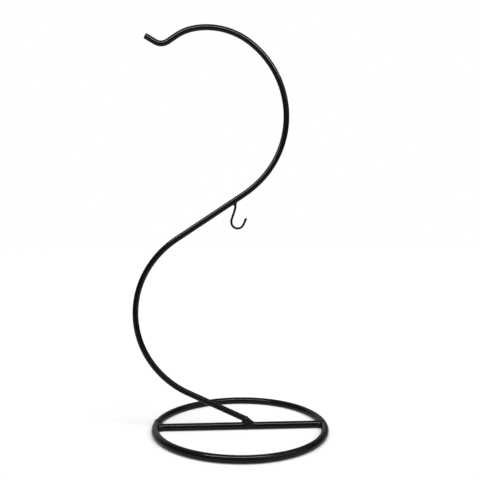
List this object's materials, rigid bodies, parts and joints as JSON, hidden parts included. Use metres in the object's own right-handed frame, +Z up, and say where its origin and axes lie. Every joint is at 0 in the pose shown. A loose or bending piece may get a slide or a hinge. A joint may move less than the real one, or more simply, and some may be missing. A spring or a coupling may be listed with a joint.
{
  "type": "hanging plant stand",
  "caption": "Tabletop stand for a hanging plant or globe: an S-shaped bar stem with an open hook on top and a small wire hook below it, welded to a ring base with a crossbar.",
  "frame": {"origin": "middle of the base ring at the height of the tabletop", "axes": "+Z up; X along the crossbar, with the hook's open end towards -X; the stem stands in the XZ plane; the viewer in the picture is towards -Y"},
  "size_m": [0.1384, 0.125, 0.2857],
  "materials": {
    "bar_paint": "satin black paint on steel bar",
    "weld_paint": "satin black paint over rough weld beads",
    "wire_paint": "satin black paint on steel wire"
  },
  "bodies": {
    "root": {"base_ring": "bar_paint", "ring_seam_weld": "weld_paint", "crossbar": "bar_paint", "crossbar_weld_left": "weld_paint", "crossbar_weld_right": "weld_paint", "stem": "bar_paint", "stem_foot_weld": "weld_paint", "wire_hook": "wire_paint", "hook_weld": "weld_paint"}
  },
  "joints": []
}
